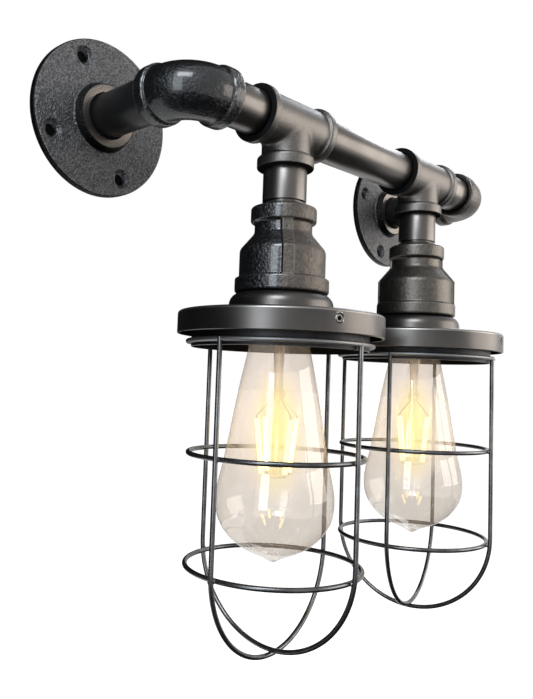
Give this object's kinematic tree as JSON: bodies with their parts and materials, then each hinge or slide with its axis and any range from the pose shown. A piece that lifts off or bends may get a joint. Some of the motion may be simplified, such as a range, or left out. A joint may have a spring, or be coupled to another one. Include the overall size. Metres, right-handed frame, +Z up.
{
  "type": "pipe wall light",
  "caption": "Wall light made of black pipe: a bar between round floor flanges carries hanging lamp heads with tear-drop filament bulbs in wire cages.",
  "frame": {"origin": "on the wall plane, midway between the two flange centres and level with the bar's axis", "axes": "+X along the bar to the right as seen from the room, +Y into the wall, +Z up"},
  "size_m": [0.3276, 0.1153, 0.2905],
  "materials": {
    "pipe_steel": "satin gunmetal",
    "rough_iron": "rough cast, grey-black",
    "glossy_iron": "cast skin under glossy black lacquer",
    "smooth_iron": "smooth cast, satin grey-brown",
    "spun_steel": "spun sheet, satin gunmetal",
    "wire_steel": "satin dark grey",
    "screw_steel": "blackened, bright rim",
    "holder_brass": "bright",
    "holder_plastic": "moulded",
    "bulb_brass": "bright",
    "bulb_insulator": "black glass with a solder button",
    "bulb_glass": "clear, faintly warm",
    "stem_glass": "clear",
    "filament": "glowing warm yellow",
    "lead_sheath": "lead insulation",
    "splice_sheath": "crimp sleeve",
    "earth_sheath": "green and yellow lead insulation"
  },
  "bodies": {
    "pipework": {"bar_pipe": "pipe_steel", "left_flange": "rough_iron", "left_arm_pipe": "pipe_steel", "left_elbow": "glossy_iron", "left_end_nipple": "pipe_steel", "right_flange": "rough_iron", "right_arm_pipe": "pipe_steel", "right_elbow": "glossy_iron", "right_end_nipple": "pipe_steel", "supply_leads": "lead_sheath", "cross_leads": "lead_sheath", "splice_caps": "splice_sheath", "earth_lead": "earth_sheath"},
    "left_head": {"left_tee": "smooth_iron", "left_drop_nipple": "pipe_steel", "left_reducer": "glossy_iron", "left_cap": "spun_steel", "left_holder_sleeve": "holder_brass", "left_holder_body": "holder_plastic", "left_holder_shell": "holder_brass", "left_terminals": "holder_brass", "left_lamp_leads": "lead_sheath"},
    "left_cage": {"left_cage_ring": "wire_steel", "left_cage_bead": "wire_steel", "left_cage_bow_1": "wire_steel", "left_cage_bow_2": "wire_steel", "left_upper_hoop": "wire_steel", "left_lower_hoop": "wire_steel"},
    "left_bulb": {"left_bulb_cap": "bulb_brass", "left_bulb_contact": "bulb_insulator", "left_bulb_glass": "bulb_glass", "left_bulb_stem": "stem_glass", "left_filaments": "filament"},
    "left_screw_1": {"left_set_screw_1": "screw_steel"},
    "left_screw_2": {"left_set_screw_2": "screw_steel"},
    "left_screw_3": {"left_set_screw_3": "screw_steel"},
    "right_head": {"right_tee": "smooth_iron", "right_drop_nipple": "pipe_steel", "right_reducer": "glossy_iron", "right_cap": "spun_steel", "right_holder_sleeve": "holder_brass", "right_holder_body": "holder_plastic", "right_holder_shell": "holder_brass", "right_terminals": "holder_brass", "right_lamp_leads": "lead_sheath"},
    "right_cage": {"right_cage_ring": "wire_steel", "right_cage_bead": "wire_steel", "right_cage_bow_1": "wire_steel", "right_cage_bow_2": "wire_steel", "right_upper_hoop": "wire_steel", "right_lower_hoop": "wire_steel"},
    "right_bulb": {"right_bulb_cap": "bulb_brass", "right_bulb_contact": "bulb_insulator", "right_bulb_glass": "bulb_glass", "right_bulb_stem": "stem_glass", "right_filaments": "filament"},
    "right_screw_1": {"right_set_screw_1": "screw_steel"},
    "right_screw_2": {"right_set_screw_2": "screw_steel"},
    "right_screw_3": {"right_set_screw_3": "screw_steel"}
  },
  "joints": [
    {"name": "left_head_tilt", "type": "hinge", "parent": "pipework", "child": "left_head", "pos_m": [-0.06095, -0.06615, 0], "axis": [1, 0, 0], "range_deg": [-90, 5]},
    {"name": "left_cage_release", "type": "slide", "parent": "left_head", "child": "left_cage", "axis": [0, 0, -1], "range_m": [0, 0.12]},
    {"name": "left_bulb_unscrew", "type": "slide", "parent": "left_head", "child": "left_bulb", "axis": [0, 0, -1], "range_m": [0, 0.025]},
    {"name": "left_screw_1_loosen", "type": "slide", "parent": "left_head", "child": "left_screw_1", "axis": [-0.3206, -0.9472, 0], "range_m": [0, 0.003]},
    {"name": "left_screw_2_loosen", "type": "slide", "parent": "left_head", "child": "left_screw_2", "axis": [0.9806, 0.1959, 0], "range_m": [0, 0.003]},
    {"name": "left_screw_3_loosen", "type": "slide", "parent": "left_head", "child": "left_screw_3", "axis": [-0.66, 0.7513, 0], "range_m": [0, 0.003]},
    {"name": "right_head_tilt", "type": "hinge", "parent": "pipework", "child": "right_head", "pos_m": [0.06095, -0.06615, 0], "axis": [1, 0, 0], "range_deg": [-90, 5]},
    {"name": "right_cage_release", "type": "slide", "parent": "right_head", "child": "right_cage", "axis": [0, 0, -1], "range_m": [0, 0.12]},
    {"name": "right_bulb_unscrew", "type": "slide", "parent": "right_head", "child": "right_bulb", "axis": [0, 0, -1], "range_m": [0, 0.025]},
    {"name": "right_screw_1_loosen", "type": "slide", "parent": "right_head", "child": "right_screw_1", "axis": [0.2045, -0.9789, 0], "range_m": [0, 0.003]},
    {"name": "right_screw_2_loosen", "type": "slide", "parent": "right_head", "child": "right_screw_2", "axis": [0.7455, 0.6665, 0], "range_m": [0, 0.003]},
    {"name": "right_screw_3_loosen", "type": "slide", "parent": "right_head", "child": "right_screw_3", "axis": [-0.95, 0.3123, 0], "range_m": [0, 0.003]}
  ]
}
